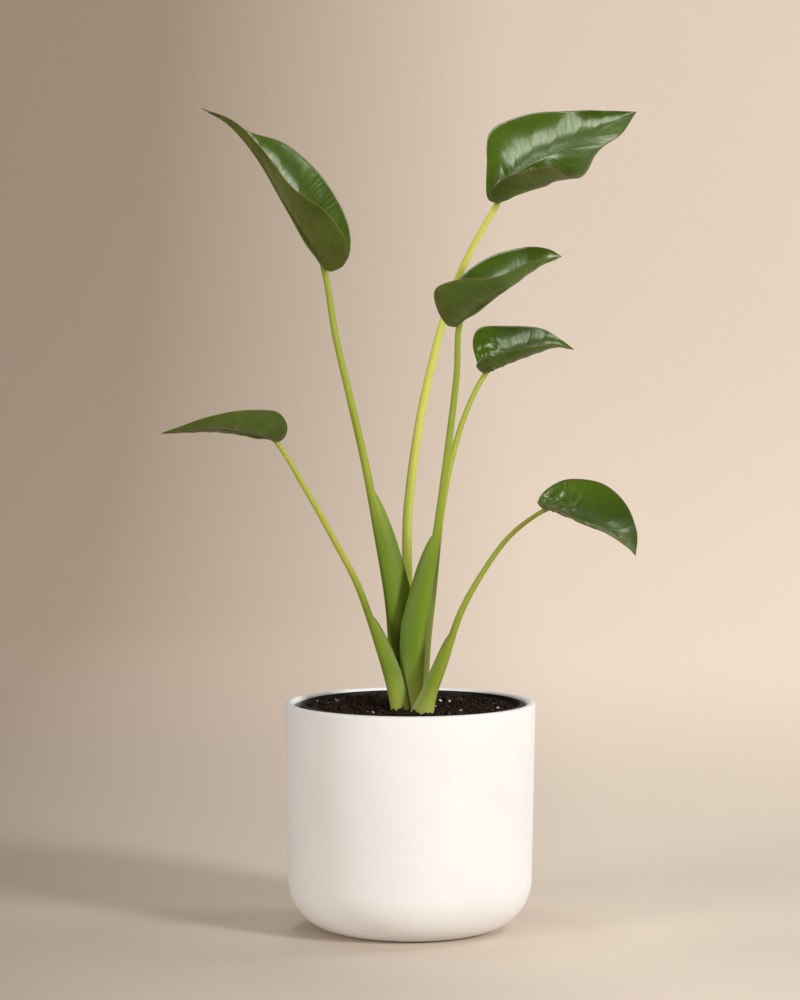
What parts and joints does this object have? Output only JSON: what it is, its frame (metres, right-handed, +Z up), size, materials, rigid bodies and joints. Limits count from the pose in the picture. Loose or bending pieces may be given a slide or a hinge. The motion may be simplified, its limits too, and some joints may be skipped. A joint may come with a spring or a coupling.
{
  "type": "potted alocasia",
  "caption": "Small alocasia with cup-shaped pointed leaves on long sheathed stalks, in a black nursery pot inside a rounded matt white ceramic pot.",
  "frame": {"origin": "middle of the outer pot's flat foot, on the surface it stands on", "axes": "+Z up along the pot's axis; -Y is the front, where the six leaves spread left and right; +X is the side with four of the leaves"},
  "size_m": [0.3182, 0.1723, 0.5562],
  "materials": {
    "ceramic": "matt warm white glazed stoneware",
    "nursery_plastic": "satin black injection-moulded plastic",
    "soil": "moist dark potting mix with bark fibres and white perlite",
    "corm": "rough brown skin",
    "stalk": "smooth satin yellow-green plant tissue",
    "leaf": "glossy dark green upper side, matt olive underside"
  },
  "bodies": {
    "root": {"outer_pot": "ceramic", "nursery_pot": "nursery_plastic", "corm": "corm", "potting_soil": "soil", "stalk_low_right": "stalk", "leaf_low_right": "leaf", "stalk_low_left": "stalk", "leaf_low_left": "leaf", "stalk_middle": "stalk", "leaf_middle": "leaf", "stalk_top_left": "stalk", "leaf_top_left": "leaf", "stalk_top_right": "stalk", "leaf_top_right": "leaf", "stalk_middle_right": "stalk", "leaf_middle_right": "leaf"}
  },
  "joints": []
}
